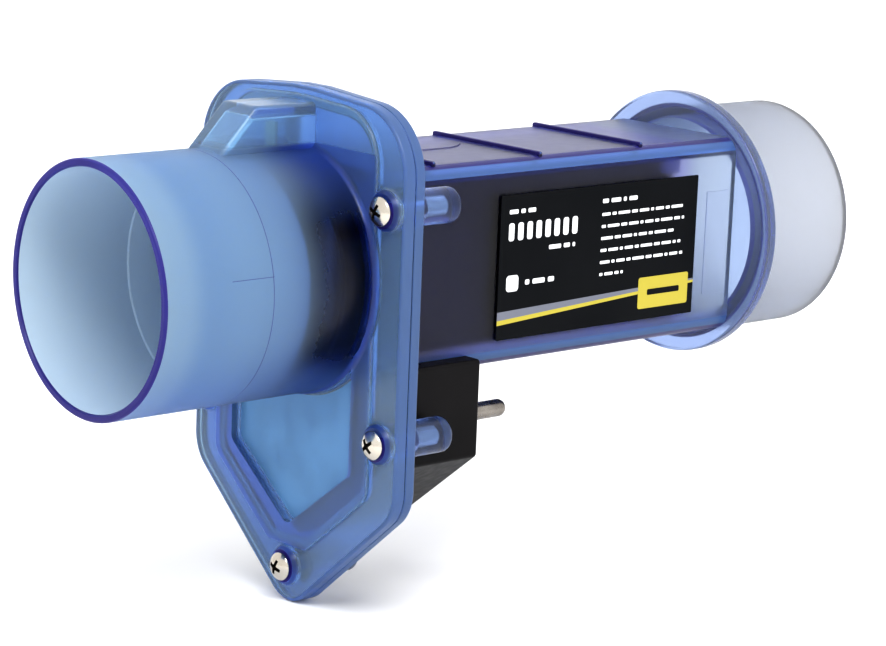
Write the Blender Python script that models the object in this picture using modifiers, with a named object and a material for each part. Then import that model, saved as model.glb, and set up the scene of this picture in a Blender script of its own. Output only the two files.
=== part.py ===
"""Salt chlorine generator: an in-line electrode cell for pool plumbing.

Frame: origin at the centre of the inlet mouth, +X along the pipe in the direction
of flow, +Z up, label side facing -Y. All sizes are in metres.
"""
from math import acos, cos, pi, radians, sin, tan

import bmesh
import bpy
from mathutils import Matrix, Vector

GAP = 0.0003                       # between neighbours that touch on the real object
ALONG_X = (pi / 2, 0, pi / 2)      # turns local X, Y, Z into world Y, Z, X

# Pipe sockets, both ends
PIPE_R = 0.0325
SOCKET_R = 0.0302
SOCKET_DEPTH = 0.034
BORE_R = 0.028
STOP_STEP = 0.0004                 # step at the end of both sockets
OUTLET_BORE_R = SOCKET_R - STOP_STEP
LEAD_LENGTH = 0.012                # cone from the inlet's step to its bore
LENGTH = 0.2432

# Stations along the flow
COVER_FRONT = 0.0655
COVER_BACK = 0.0688
LAND_FRONT = 0.0646
POCKET_FLOOR = 0.0673
FLANGE_FRONT = 0.0691
FLANGE_BACK = 0.0723
CUP_BACK = 0.0860
BOSS_BACK = 0.0870
BLOCK_BACK = 0.1040
DISC_FRONT = 0.2034
DISC_BACK = 0.2074

# Electrode chamber
CHAMBER_HALF = 0.0244
CHAMBER_TOP = 0.0272
CHAMBER_BOTTOM = -0.0276
CHAMBER_CORNER = 0.0045
WALL = 0.0025
DISC_R = 0.0376
DISC_WEB = 0.0025
RIB_HEIGHT = 0.001
RIB_STATIONS = (0.0925, 0.1302, 0.1679)
RIB_HALF = 0.0215

# Cover fasteners: two on each side and one at the bottom tip
SCREWS = {
    "upper_left": (-0.0353, 0.0198),
    "upper_right": (0.0353, 0.0198),
    "lower_left": (-0.0353, -0.0398),
    "lower_right": (0.0353, -0.0398),
    "bottom": (0.0, -0.0800),
}
SCREW_HEAD_R = 0.0040
SCREW_SHANK_R = 0.0019
SCREW_HEAD_FRONT = 0.0609
SCREW_HEAD_BACK = 0.0632
SCREW_TIP = 0.0800
BOSS_R = 0.0047

# Gas trap on top of the inlet pipe
HOOD_HALF = 0.0070
HOOD_TOP = 0.0434
HOOD_RAMP_FOOT = 0.0345
HOOD_RAMP_HEAD = 0.0455
HOOD_WALL = 0.0022

# Electrode cassette
PLATE_COUNT = 9
PLATE_PITCH = 0.0044
PLATE_THICKNESS = 0.0010
PLATE_FRONT = 0.0760
PLATE_BACK = 0.1840
PLATE_TOP = 0.0222
PLATE_BOTTOM = -0.0226
COMB_LENGTH = 0.0060
COMB_HALF = 0.0202
STRAP_THICKNESS = 0.0012
HEAD_R = 0.0272
HEAD_FRONT = 0.0580

# Terminals
PIN_R = 0.0024
PIN_TIP = 0.1266
PIN_Z = -0.0420
PIN_COLLAR_R = 0.0040
PIN_COLLAR_LENGTH = 0.0024
PIN_PLACES = {"left": -0.0150, "middle": 0.0, "right": 0.0150}
SLEEVE_R = 0.0062
SLEEVE_BACK = 0.0920
SEAL_SEAT_R = 0.0049
SEAL_STATION = 0.0865
BLOCK_HALF = 0.0300
BLOCK_TOP = -0.0234                # its sides rise past the chamber's underside
SADDLE_BOTTOM = CHAMBER_BOTTOM - GAP
BLOCK_WALL = 0.0026

LABEL = ((0.1135, -0.0206), (0.1876, 0.0182))     # lowest and highest X, Z
LABEL_THICKNESS = 0.0003


# ---------------------------------------------------------------- scene and materials

def clear_scene():
    for obj in list(bpy.data.objects):
        bpy.data.objects.remove(obj)


def collection(name):
    made = bpy.data.collections.new(name)
    bpy.context.scene.collection.children.link(made)
    return made


def material(name, colour, roughness, metallic=0.0, transmission=0.0):
    made = bpy.data.materials.new(name)
    made.use_nodes = True
    shader = made.node_tree.nodes["Principled BSDF"]
    shader.inputs["Base Color"].default_value = (*colour, 1.0)
    shader.inputs["Roughness"].default_value = roughness
    shader.inputs["Metallic"].default_value = metallic
    shader.inputs["Transmission Weight"].default_value = transmission
    return made


clear_scene()
PARTS = collection("salt_chlorine_generator")
TOOLS = collection("cutters")

BLUE_PLASTIC = material("frosted_blue_plastic", (0.16, 0.30, 0.75), 0.35, 0.0, 0.6)
PALE_PLASTIC = material("frosted_pale_plastic", (0.45, 0.55, 0.85), 0.3, 0.0, 0.7)
BLACK_PLASTIC = material("black_plastic", (0.02, 0.02, 0.022), 0.45)
NATURAL_PLASTIC = material("natural_plastic", (0.62, 0.66, 0.74), 0.4)
RUBBER = material("black_rubber", (0.03, 0.03, 0.03), 0.8)
STAINLESS = material("stainless_steel", (0.78, 0.75, 0.68), 0.25, 1.0)
PIN_STEEL = material("terminal_steel", (0.62, 0.60, 0.56), 0.35, 1.0)
TITANIUM = material("titanium", (0.55, 0.54, 0.52), 0.4, 1.0)
COATED_PLATE = material("coated_titanium", (0.07, 0.07, 0.09), 0.55, 0.6)
LABEL_FILM = material("label_film", (0.015, 0.015, 0.018), 0.4)


# ---------------------------------------------------------------- outlines in the Y, Z plane

def symmetric(half):
    """All corners of a shape from those at y >= 0, listed from the bottom up."""
    return half + [(-y, z, radius) for y, z, radius in reversed(half) if y > 0]


def rounded(corners, step=radians(14)):
    """Points round a polygon whose corners (y, z, radius) are filleted."""
    points = []
    for i, (y, z, radius) in enumerate(corners):
        here = Vector((y, z))
        if radius == 0:
            points.append(here)
            continue
        to_last = (Vector(corners[i - 1][:2]) - here).normalized()
        to_next = (Vector(corners[(i + 1) % len(corners)][:2]) - here).normalized()
        half = to_last.angle(to_next) / 2
        centre = here + (to_last + to_next).normalized() * radius / sin(half)
        start = here + to_last * radius / tan(half) - centre
        turn = pi - 2 * half
        if to_last.cross(to_next) > 0:
            turn = -turn
        arcs = max(1, round(abs(turn) / step))
        for k in range(arcs + 1):
            points.append(centre + Matrix.Rotation(turn * k / arcs, 2) @ start)
    return points


def inset(points, distance):
    """The same closed outline moved inward by a distance (convex outlines)."""
    moved = []
    for i, here in enumerate(points):
        before = (here - points[i - 1]).normalized()
        after = (points[(i + 1) % len(points)] - here).normalized()
        inward = Vector((-before.y - after.y, before.x + after.x)).normalized()
        lean = inward.dot(Vector((-before.y, before.x)))
        moved.append(here + inward * distance / lean)
    return moved


def circle(radius, segments, y=0.0, z=0.0):
    turns = [2 * pi * i / segments for i in range(segments)]
    return [Vector((y + radius * cos(t), z + radius * sin(t))) for t in turns]


def rectangle(half_width, bottom, top, corner):
    return rounded(symmetric([(half_width, bottom, corner), (half_width, top, corner)]))


PLATE_OUTLINE = rounded(symmetric([
    (0.0, -0.0928, 0.0098), (0.0417, -0.0575, 0.0120),
    (0.0417, 0.0440, 0.0180), (0.0, 0.0472, 0.0600)]))
LAND_OUTLINE = rounded(symmetric([
    (0.0078, -0.0745, 0.0030), (0.0316, -0.0550, 0.0060),
    (0.0316, 0.0432, 0.0140), (0.0, 0.0450, 0.0600)]))


# ---------------------------------------------------------------- solids

def add_to(obj, group):
    for old in list(obj.users_collection):
        old.objects.unlink(obj)
    group.objects.link(obj)
    return obj


def slab(name, front, back, *loops):
    """A flat outline in Y, Z with thickness along X; further loops are holes."""
    curve = bpy.data.curves.new(name, "CURVE")
    curve.dimensions = "2D"
    curve.fill_mode = "BOTH"
    curve.extrude = (back - front) / 2
    for loop in loops:
        spline = curve.splines.new("POLY")
        spline.points.add(len(loop) - 1)
        spline.use_cyclic_u = True
        for point, (y, z) in zip(spline.points, loop):
            point.co = (y, z, 0, 1)
    guide = bpy.data.objects.new(name + "_guide", curve)
    guide.location.x = (front + back) / 2
    guide.rotation_euler = ALONG_X
    return curve_to_mesh(name, guide)


def side_slab(name, half_width, outline):
    """A flat outline of (x, z) points with thickness along Y, centred on Y = 0."""
    curve = bpy.data.curves.new(name, "CURVE")
    curve.dimensions = "2D"
    curve.fill_mode = "BOTH"
    curve.extrude = half_width
    spline = curve.splines.new("POLY")
    spline.points.add(len(outline) - 1)
    spline.use_cyclic_u = True
    for point, (x, z) in zip(spline.points, outline):
        point.co = (x, z, 0, 1)
    guide = bpy.data.objects.new(name + "_guide", curve)
    guide.rotation_euler.x = pi / 2
    return curve_to_mesh(name, guide)


def curve_to_mesh(name, guide):
    TOOLS.objects.link(guide)
    bpy.context.view_layer.update()
    evaluated = guide.evaluated_get(bpy.context.evaluated_depsgraph_get())
    mesh = bpy.data.meshes.new_from_object(evaluated)
    mesh.name = name
    work = bmesh.new()
    work.from_mesh(mesh)
    bmesh.ops.remove_doubles(work, verts=work.verts, dist=0.000002)
    bmesh.ops.recalc_face_normals(work, faces=work.faces)
    work.to_mesh(mesh)
    work.free()
    obj = bpy.data.objects.new(name, mesh)
    obj.matrix_world = guide.matrix_world.copy()
    TOOLS.objects.link(obj)
    bpy.data.objects.remove(guide)
    return obj


def rod(name, radius, front, back, y=0.0, z=0.0, segments=48, back_radius=None):
    """A straight rod along X, or a cone where back_radius is given."""
    bpy.ops.mesh.primitive_cone_add(
        vertices=segments, radius1=radius, radius2=back_radius or radius,
        depth=back - front, location=((front + back) / 2, y, z), rotation=ALONG_X)
    obj = bpy.context.object
    obj.name = name
    return add_to(obj, TOOLS)


def box(name, low, high):
    centre = [(a + b) / 2 for a, b in zip(low, high)]
    bpy.ops.mesh.primitive_cube_add(size=1, location=centre)
    obj = bpy.context.object
    obj.name = name
    obj.scale = [b - a for a, b in zip(low, high)]
    bpy.ops.object.transform_apply(location=False, rotation=False, scale=True)
    return add_to(obj, TOOLS)


def turned(name, profile, y=0.0, z=0.0, steps=24):
    """A solid turned about a line along X, from (radius, x) points, highest x first."""
    mesh = bpy.data.meshes.new(name)
    front = profile[-1][1]
    places = [(radius, 0, x - front) for radius, x in profile]
    mesh.from_pydata(places, [(i, i + 1) for i in range(len(places) - 1)], [])
    obj = bpy.data.objects.new(name, mesh)
    obj.location = (front, y, z)
    obj.rotation_euler = ALONG_X
    spin = obj.modifiers.new("turn", "SCREW")
    spin.steps = steps
    spin.render_steps = steps
    spin.use_merge_vertices = True
    spin.merge_threshold = 0.00001
    TOOLS.objects.link(obj)
    return obj


def cut(obj, tool, operation="DIFFERENCE"):
    change = obj.modifiers.new(operation.lower(), "BOOLEAN")
    change.operation = operation
    change.object = tool
    change.solver = "EXACT"
    tool.hide_render = True
    tool.display_type = "WIRE"


def join(obj, *tools):
    for tool in tools:
        cut(obj, tool, "UNION")


def part(obj, finish, parent=None, smooth=True):
    """Makes an object one of the model's pieces."""
    obj.data.materials.clear()
    obj.data.materials.append(finish)
    if smooth and obj.data.polygons:
        obj.data.shade_smooth()
        obj.data.set_sharp_from_angle(angle=radians(35))
    add_to(obj, PARTS)
    bpy.context.view_layer.update()
    if parent:
        obj.parent = parent
        obj.matrix_parent_inverse = parent.matrix_world.inverted()
    return obj


def carrier(name, place):
    """An empty that stands for a moving group, at a point on its line of travel."""
    empty = bpy.data.objects.new(name, None)
    empty.location = place
    PARTS.objects.link(empty)
    bpy.context.view_layer.update()
    return empty


# ---------------------------------------------------------------- moulded housing

def cup_outlines():
    """Inside and outside of the V-shaped cup that holds the terminals."""
    inside = rounded(symmetric([
        (0.0, -0.0653, 0.0030), (0.0238, -0.0470, 0.0030), (0.0238, -0.0300, 0.0),
        (0.0215, -0.0285, 0.0), (0.0215, -0.0200, 0.0)]))
    outside = rounded(symmetric([
        (0.0, -0.0683, 0.0050), (0.0262, -0.0481, 0.0050), (0.0262, -0.0282, 0.0),
        (0.0220, -0.0262, 0.0)]))
    return inside, outside


def rear_boss(name, y, z):
    nose = 0.0018
    arc = [(BOSS_R - nose + nose * sin(t), BOSS_BACK - nose + nose * cos(t))
           for t in (0, pi / 6, pi / 3, pi / 2)]
    profile = [(0.0, BOSS_BACK)] + arc + [(BOSS_R, FLANGE_FRONT + 0.001), (0.0, FLANGE_FRONT + 0.001)]
    return turned(name, profile, y, z, steps=16)


def chamber_inside():
    return rectangle(CHAMBER_HALF - WALL, CHAMBER_BOTTOM + WALL, CHAMBER_TOP - WALL, 0.0025)


def make_housing():
    housing = slab("chamber_housing", FLANGE_FRONT, FLANGE_BACK, PLATE_OUTLINE)
    cup_in, cup_out = cup_outlines()
    join(housing,
         slab("chamber_block", FLANGE_FRONT + 0.001, DISC_FRONT - GAP,
              rectangle(CHAMBER_HALF, CHAMBER_BOTTOM, CHAMBER_TOP, CHAMBER_CORNER)),
         slab("cup_block", FLANGE_FRONT + 0.0012, CUP_BACK, cup_out))
    for place, y in PIN_PLACES.items():
        join(housing, rod("sleeve_" + place, SLEEVE_R, CUP_BACK - 0.001, SLEEVE_BACK, y, PIN_Z, 16))
    for i, station in enumerate(RIB_STATIONS):
        join(housing, box(f"rib_block_{i}", (station - 0.0005, -RIB_HALF, CHAMBER_TOP - 0.001),
                          (station + 0.0005, RIB_HALF, CHAMBER_TOP + RIB_HEIGHT)))
    for place, (y, z) in SCREWS.items():
        join(housing, rear_boss("rear_boss_" + place, y, z))

    cut(housing, slab("chamber_space", FLANGE_FRONT - 0.002, DISC_FRONT + 0.0015, chamber_inside()))
    cut(housing, slab("cup_space", FLANGE_FRONT - 0.0015, CUP_BACK - 0.0024, cup_in))
    for place, y in PIN_PLACES.items():
        cut(housing, rod("pin_way_" + place, PIN_R + GAP, CUP_BACK - 0.006, SLEEVE_BACK + 0.002,
                         y, PIN_Z, 16))
        cut(housing, rod("seal_seat_" + place, SEAL_SEAT_R, CUP_BACK - 0.005, SEAL_STATION + 0.0012,
                         y, PIN_Z, 16))
    for place, (y, z) in SCREWS.items():
        cut(housing, rod("screw_way_" + place, SCREW_SHANK_R + GAP, FLANGE_FRONT - 0.003,
                         BOSS_BACK - 0.003, y, z, 12))
    return part(housing, BLUE_PLASTIC)


def make_outlet():
    """Pipe socket with a disc that closes the far end of the chamber, welded to it.

    The way through the disc is the part of the chamber's section that meets the bore."""
    outlet = rod("outlet_socket", PIPE_R, DISC_FRONT + 0.001, LENGTH)
    join(outlet, rod("disc_block", DISC_R, DISC_FRONT, DISC_BACK, segments=56))
    cut(outlet, rod("outlet_bore", OUTLET_BORE_R, DISC_FRONT + DISC_WEB, LENGTH - 0.030))
    mouth = slab("disc_mouth", DISC_FRONT - 0.002, DISC_FRONT + DISC_WEB + 0.001, chamber_inside())
    cut(mouth, rod("mouth_limit", OUTLET_BORE_R - 0.0001, DISC_FRONT - 0.003, DISC_BACK), "INTERSECT")
    cut(outlet, mouth)
    cut(outlet, rod("outlet_space", SOCKET_R, LENGTH - SOCKET_DEPTH, LENGTH + 0.003))
    return part(outlet, PALE_PLASTIC)


# ---------------------------------------------------------------- moulded inlet cover

def hood_outline(wall=0.0, foot=0.020, back=COVER_BACK):
    """Side view of the gas trap: a ramp up from the pipe and a flat roof."""
    slope = (HOOD_TOP - 0.0318) / (HOOD_RAMP_HEAD - HOOD_RAMP_FOOT)
    shift = wall * (1 + slope * slope) ** 0.5 / slope
    ramp_bottom = HOOD_RAMP_FOOT + shift + (foot - 0.0318) / slope
    ramp_top = HOOD_RAMP_HEAD + shift - wall / slope
    return [(ramp_bottom, foot), (back, foot), (back, HOOD_TOP - wall), (ramp_top, HOOD_TOP - wall)]


def pocket_outline():
    """V-shaped pocket below the pipe, with a top edge that follows the pipe."""
    half_width = 0.0244
    pipe = PIPE_R + 0.0004
    steps = 12
    start = -acos(half_width / pipe)
    sweep = pi + 2 * start
    turns = [start - sweep * k / steps for k in range(steps + 1)]
    bowl = [(pipe * cos(t), pipe * sin(t), 0.0) for t in turns]
    tip = [(-half_width, -0.0505, 0.003), (0.0, -0.0690, 0.003), (half_width, -0.0505, 0.003)]
    return rounded(bowl + tip)


def make_cover(mover):
    cover = slab("inlet_cover", COVER_FRONT, COVER_BACK, PLATE_OUTLINE)
    join(cover,
         slab("land_block", LAND_FRONT, COVER_FRONT + 0.001, LAND_OUTLINE),
         rod("inlet_block", PIPE_R, 0.0, COVER_FRONT + 0.0012),
         side_slab("hood_block", HOOD_HALF, hood_outline(back=COVER_FRONT + 0.0014)))
    for place, (y, z) in SCREWS.items():
        join(cover, rod("front_boss_" + place, 0.0048, SCREW_HEAD_BACK + GAP, COVER_FRONT + 0.0011,
                        y, z, 20, back_radius=0.0058))
    cut(cover, slab("pocket_space", LAND_FRONT - 0.003, POCKET_FLOOR, pocket_outline()))
    cut(cover, rod("inlet_socket", SOCKET_R, -0.003, SOCKET_DEPTH))
    cut(cover, rod("inlet_bore", BORE_R, SOCKET_DEPTH - 0.004, COVER_BACK + 0.003))
    cut(cover, rod("inlet_lead", SOCKET_R - STOP_STEP, SOCKET_DEPTH - 0.0002,
                   SOCKET_DEPTH + LEAD_LENGTH, back_radius=BORE_R - 0.0001))
    cut(cover, side_slab("hood_space", HOOD_HALF - HOOD_WALL,
                         hood_outline(HOOD_WALL, back=COVER_BACK + 0.004)))
    for place, (y, z) in SCREWS.items():
        cut(cover, rod("screw_hole_" + place, SCREW_SHANK_R + GAP, SCREW_HEAD_FRONT,
                       COVER_BACK + 0.002, y, z, 12))
    groove = (inset(LAND_OUTLINE, 0.0007), inset(LAND_OUTLINE, 0.0029))
    cut(cover, slab("seal_groove", COVER_BACK - 0.0020, COVER_BACK + 0.0022, *groove))
    part(cover, BLUE_PLASTIC, mover)

    ring = (inset(LAND_OUTLINE, 0.0007 + GAP), inset(LAND_OUTLINE, 0.0029 - GAP))
    part(slab("cover_seal", COVER_BACK - 0.0020 + GAP, COVER_BACK, *ring), RUBBER, mover)


# ---------------------------------------------------------------- fasteners

def cross_outline(reach, arm, y, z):
    """A plus-shaped driver recess, as a screw left at some angle shows it."""
    turned_by = radians(27)
    quarter = [(reach, -arm), (reach, arm), (arm, arm)]
    return [Matrix.Rotation(turned_by + k * pi / 2, 2) @ Vector(p) + Vector((y, z))
            for k in range(4) for p in quarter]


def make_screw(place, y, z, mover):
    edge = SCREW_HEAD_FRONT
    profile = [
        (0.0, SCREW_TIP), (0.0009, SCREW_TIP - 0.0005), (SCREW_SHANK_R, SCREW_TIP - 0.0028),
        (SCREW_SHANK_R, SCREW_HEAD_BACK), (SCREW_HEAD_R, SCREW_HEAD_BACK),
        (SCREW_HEAD_R, edge + 0.0011), (0.0036, edge + 0.0004), (0.0027, edge), (0.0, edge)]
    screw = turned("cover_screw_" + place, profile, y, z, steps=16)
    cut(screw, slab("recess_" + place, edge - 0.001, edge + 0.0013,
                    cross_outline(0.0021, 0.00055, y, z)))
    return part(screw, STAINLESS, mover)


# ---------------------------------------------------------------- terminals

def block_corners(top):
    return symmetric([(0.0, -0.0725, 0.0030), (BLOCK_HALF, -0.0493, 0.0015),
                      (BLOCK_HALF, top, 0.0010)])


def make_terminal_block():
    """Shell behind the flange, with a saddle that the chamber sits in."""
    block = slab("terminal_block", FLANGE_BACK + GAP, BLOCK_BACK, rounded(block_corners(BLOCK_TOP)))
    inside = inset([Vector((y, z)) for y, z, radius in block_corners(SADDLE_BOTTOM)], BLOCK_WALL)
    cut(block, slab("block_space", FLANGE_BACK - 0.001, BLOCK_BACK - BLOCK_WALL, inside))
    cut(block, slab("block_saddle", FLANGE_BACK - 0.0020, BLOCK_BACK + 0.002, rectangle(
        CHAMBER_HALF + GAP, SADDLE_BOTTOM, CHAMBER_TOP + GAP, CHAMBER_CORNER + GAP)))
    cut(block, box("block_notch", (FLANGE_BACK - 0.0015, -0.0266, SADDLE_BOTTOM - 0.0040),
                   (CUP_BACK + GAP, 0.0266, BLOCK_TOP + 0.004)))
    for place, y in PIN_PLACES.items():
        cut(block, rod("pin_exit_" + place, PIN_R + 0.0006, BLOCK_BACK - 0.006,
                       BLOCK_BACK + 0.003, y, PIN_Z, 16))
    return part(block, BLACK_PLASTIC)


def make_pin(name, y, mover):
    base = PLATE_FRONT
    shoulder = base + PIN_COLLAR_LENGTH
    tip = [(PIN_R * sin(t), PIN_TIP - PIN_R + PIN_R * cos(t)) for t in (0, pi / 6, pi / 3, pi / 2)]
    profile = tip + [(PIN_R, shoulder), (PIN_COLLAR_R, shoulder), (PIN_COLLAR_R, base), (0.0, base)]
    part(turned(name, profile, y, PIN_Z, steps=16), PIN_STEEL, mover)


def make_pin_seal(place, y, mover):
    tube_r = 0.0009
    bpy.ops.mesh.primitive_torus_add(
        location=(SEAL_STATION, y, PIN_Z), rotation=ALONG_X, major_segments=20,
        minor_segments=8, major_radius=PIN_R + GAP + tube_r, minor_radius=tube_r)
    seal = bpy.context.object
    seal.name = "pin_seal_" + place
    part(seal, RUBBER, mover)


# ---------------------------------------------------------------- electrode cassette

def plate_places():
    middle = (PLATE_COUNT - 1) / 2
    return [(i - middle) * PLATE_PITCH for i in range(PLATE_COUNT)]


def make_plates(mover):
    for i, y in enumerate(plate_places()):
        plate = box(f"electrode_plate_{i + 1}",
                    (PLATE_FRONT, y - PLATE_THICKNESS / 2, PLATE_BOTTOM),
                    (PLATE_BACK, y + PLATE_THICKNESS / 2, PLATE_TOP))
        part(plate, COATED_PLATE, mover, smooth=False)


def comb_outline(edge, root, wall):
    """A bar with one slot for each plate; edge is the open side, wall the solid one."""
    slot = PLATE_THICKNESS / 2 + GAP
    points = [(-COMB_HALF, edge)]
    for y in plate_places():
        points += [(y - slot, edge), (y - slot, root), (y + slot, root), (y + slot, edge)]
    return points + [(COMB_HALF, edge), (COMB_HALF, wall), (-COMB_HALF, wall)]


def make_combs(mover):
    ends = {"front": PLATE_FRONT + 0.004, "rear": PLATE_BACK - COMB_LENGTH}
    upper = comb_outline(PLATE_TOP - 0.0035, PLATE_TOP + GAP, CHAMBER_TOP - WALL - 0.0005)
    lower = comb_outline(PLATE_BOTTOM + 0.0035, PLATE_BOTTOM - GAP, CHAMBER_BOTTOM + WALL + 0.0005)
    for end, start in ends.items():
        part(slab("comb_upper_" + end, start, start + COMB_LENGTH, upper), NATURAL_PLASTIC, mover)
        part(slab("comb_lower_" + end, start, start + COMB_LENGTH, lower), NATURAL_PLASTIC, mover)


def make_head(mover):
    """Black frame at the mouth: a round lip in the cover and a square collar in the chamber."""
    frame_front = COVER_BACK + 0.0004
    frame_back = PLATE_FRONT - GAP - STRAP_THICKNESS - 0.0007
    opening = rectangle(0.0172, -0.0190, 0.0186, 0.0050)
    head = slab("cassette_head", HEAD_FRONT, COVER_BACK - 0.0028, circle(HEAD_R, 48))
    join(head,
         slab("head_neck", COVER_BACK - 0.003, frame_front + 0.0004,
              rectangle(0.0190, -0.0205, 0.0201, 0.0060)),
         slab("head_frame", frame_front, frame_back,
              rectangle(0.0213, -0.0246, 0.0242, 0.0025)))
    cut(head, rod("head_cone", HEAD_R - 0.0018, HEAD_FRONT - 0.001, HEAD_FRONT + 0.0058))
    cut(head, slab("head_opening", HEAD_FRONT + 0.004, frame_back + 0.001, opening))
    part(head, BLACK_PLASTIC, mover)


def make_straps(mover):
    back = PLATE_FRONT - GAP
    front = back - STRAP_THICKNESS
    for place, side in (("left", -1), ("right", 1)):
        corners = [(0.0192, -0.0474), (0.0192, 0.0200), (0.0158, 0.0200), (0.0158, -0.0255),
                   (0.0108, -0.0300), (0.0108, -0.0474)]
        outline = [(side * y, z) for y, z in corners]
        part(slab("bus_strap_" + place, front, back, outline), TITANIUM, mover)


def make_sensor_strip(mover):
    """A bent strip from the middle pin, along the head's opening and up into the gas trap."""
    half_width = 0.0020
    thickness = 0.0008
    back = PLATE_FRONT - GAP
    bend = 0.0165
    front = 0.0550
    outline = [
        (back, -0.0460), (back, bend + thickness), (front + thickness, bend + thickness),
        (front + thickness, 0.0385), (front, 0.0385), (front, bend),
        (back - thickness, bend), (back - thickness, -0.0460)]
    part(side_slab("sensor_strip", half_width, outline), TITANIUM, mover)


# ---------------------------------------------------------------- label and assembly

def make_label():
    (x_low, z_low), (x_high, z_high) = LABEL
    back = -CHAMBER_HALF - GAP
    part(box("label", (x_low, back - LABEL_THICKNESS, z_low), (x_high, back, z_high)),
         LABEL_FILM, smooth=False)


def main():
    cover_carrier = carrier("cover_carrier", (COVER_FRONT, 0, 0))
    cassette_carrier = carrier("cassette_carrier", (PLATE_FRONT, 0, 0))
    make_housing()
    make_outlet()
    make_cover(cover_carrier)
    for place, (y, z) in SCREWS.items():
        make_screw(place, y, z, cover_carrier)
    make_terminal_block()
    make_head(cassette_carrier)
    make_plates(cassette_carrier)
    make_combs(cassette_carrier)
    make_straps(cassette_carrier)
    make_sensor_strip(cassette_carrier)
    make_pin("power_pin_left", PIN_PLACES["left"], cassette_carrier)
    make_pin("power_pin_right", PIN_PLACES["right"], cassette_carrier)
    make_pin("sensor_pin", PIN_PLACES["middle"], cassette_carrier)
    for place, y in PIN_PLACES.items():
        make_pin_seal(place, y, cassette_carrier)
    make_label()


main()
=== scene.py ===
"""Looks of the salt chlorine generator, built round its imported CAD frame."""
from math import acos, asin, cos, pi, radians, sin, tan

import bmesh
import bpy
from mathutils import Matrix, Vector


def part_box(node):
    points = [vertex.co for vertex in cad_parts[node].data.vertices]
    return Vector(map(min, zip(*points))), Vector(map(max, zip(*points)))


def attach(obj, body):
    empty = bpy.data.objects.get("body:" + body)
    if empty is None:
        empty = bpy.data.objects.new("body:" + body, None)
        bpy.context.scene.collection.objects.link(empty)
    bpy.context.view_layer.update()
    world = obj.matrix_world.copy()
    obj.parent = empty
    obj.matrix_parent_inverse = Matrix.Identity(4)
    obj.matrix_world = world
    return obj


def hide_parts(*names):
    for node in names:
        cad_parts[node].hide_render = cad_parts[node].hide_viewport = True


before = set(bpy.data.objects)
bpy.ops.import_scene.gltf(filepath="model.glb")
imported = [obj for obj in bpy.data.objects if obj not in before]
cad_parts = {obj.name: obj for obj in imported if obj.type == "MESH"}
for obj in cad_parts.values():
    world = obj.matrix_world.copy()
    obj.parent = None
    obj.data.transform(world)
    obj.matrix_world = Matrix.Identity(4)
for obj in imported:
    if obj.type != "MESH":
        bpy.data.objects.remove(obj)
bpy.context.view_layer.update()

# ---------------------------------------------------------------- sizes, in metres

COVER_LOW, COVER_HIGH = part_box("inlet_cover")
HOUSING_LOW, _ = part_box("chamber_housing")
OUTLET_LOW, OUTLET_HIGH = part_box("outlet_socket")
BLOCK_LOW, BLOCK_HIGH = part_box("terminal_block")
LABEL_LOW, LABEL_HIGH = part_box("label")
HEAD_LOW, HEAD_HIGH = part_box("cassette_head")

LENGTH = OUTLET_HIGH.x
PLATE_HALF = COVER_HIGH.y
COVER_BACK = COVER_HIGH.x
FLANGE_FRONT = HOUSING_LOW.x
DISC_FRONT = OUTLET_LOW.x
DISC_R = OUTLET_HIGH.y

PIPE_R = 0.0325
SOCKET_R = 0.0302
SOCKET_DEPTH = 0.034
BORE_R = 0.028
STOP_STEP = 0.0004           # step that a pipe stops against, at the end of a socket
LEAD_LENGTH = 0.012          # cone from the inlet's step to its bore
GAP = 0.0003                 # between pieces that touch

COVER_FRONT = COVER_BACK - 0.0033
LAND_FRONT = COVER_FRONT - 0.0009
POCKET_FLOOR = COVER_FRONT + 0.0018
FLANGE_BACK = FLANGE_FRONT + 0.0032
CUP_BACK = 0.0860
BOSS_BACK = 0.0870
DISC_BACK = DISC_FRONT + 0.0040
DISC_WEB = 0.0025
OUTLET_BORE_R = SOCKET_R - STOP_STEP

CHAMBER_HALF = 0.0244
CHAMBER_TOP = 0.0272
CHAMBER_BOTTOM = -0.0276
CHAMBER_CORNER = 0.0048
WALL = 0.0025
RIB_STATIONS = (0.0925, 0.1302, 0.1679)

HOOD_HALF = 0.0070
HOOD_TOP = 0.0434
HOOD_RAMP_FOOT = 0.0345
HOOD_RAMP_HEAD = 0.0455
HOOD_WALL = 0.0022
HOOD_ROOF = 0.0032

SCREW_HOLE_R = 0.0022
SCREW_SEAT = 0.0635
PIN_PLACES = (-0.0150, 0.0, 0.0150)
PIN_Z = -0.0420

SCREW_NODES = sorted(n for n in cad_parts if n.startswith("cover_screw_"))


def middle(node):
    """Centre of a CAD piece's box."""
    low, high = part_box(node)
    return (low + high) / 2


SCREW_PLACES = [(middle(n).y, middle(n).z) for n in SCREW_NODES]


# ---------------------------------------------------------------- outlines

def symmetric(half):
    """All corners of a shape from those at y >= 0, listed from the bottom up."""
    return half + [(-y, z, radius) for y, z, radius in reversed(half) if y > 0]


def rounded(corners, step=radians(6)):
    """Points round a polygon whose corners (y, z, radius) are filleted."""
    points = []
    for i, (y, z, radius) in enumerate(corners):
        here = Vector((y, z))
        if radius == 0:
            points.append(here)
            continue
        to_last = (Vector(corners[i - 1][:2]) - here).normalized()
        to_next = (Vector(corners[(i + 1) % len(corners)][:2]) - here).normalized()
        half = to_last.angle(to_next) / 2
        centre = here + (to_last + to_next).normalized() * radius / sin(half)
        start = here + to_last * radius / tan(half) - centre
        turn = pi - 2 * half
        if to_last.cross(to_next) > 0:
            turn = -turn
        arcs = max(1, round(abs(turn) / step))
        for k in range(arcs + 1):
            points.append(centre + Matrix.Rotation(turn * k / arcs, 2) @ start)
    return points


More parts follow.
